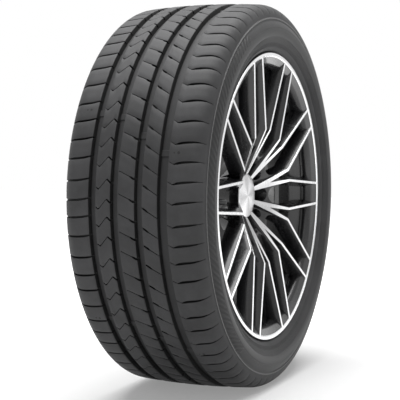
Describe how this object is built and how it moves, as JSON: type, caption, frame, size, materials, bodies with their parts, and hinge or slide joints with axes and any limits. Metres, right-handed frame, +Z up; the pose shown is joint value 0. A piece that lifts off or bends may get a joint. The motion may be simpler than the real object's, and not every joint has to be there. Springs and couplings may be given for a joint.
{
  "type": "car tyre on alloy wheel",
  "caption": "Low-profile road tyre fitted on a concave forked-spoke alloy wheel, with centre cap and rubber snap-in valve.",
  "frame": {"origin": "where the axle line meets the wheel's mounting face", "axes": "+Y along the axle towards the car, so the outboard face looks along -Y; +Z up, with the flat spot of the tyre at the bottom"},
  "size_m": [0.6612, 0.255, 0.6592],
  "materials": {
    "tyre_rubber": "matte black rubber with a satin sidewall",
    "wheel_alloy": "gloss black paint with diamond-cut bright front edges",
    "cap_silver": "radially brushed silver",
    "valve_rubber": "matte",
    "valve_brass": "satin",
    "valve_plastic": "matte"
  },
  "bodies": {
    "root": {"tyre": "tyre_rubber", "wheel": "wheel_alloy", "centre_cap": "cap_silver", "valve_stem": "valve_rubber", "valve_insert": "valve_brass", "valve_cap": "valve_plastic"}
  },
  "joints": []
}
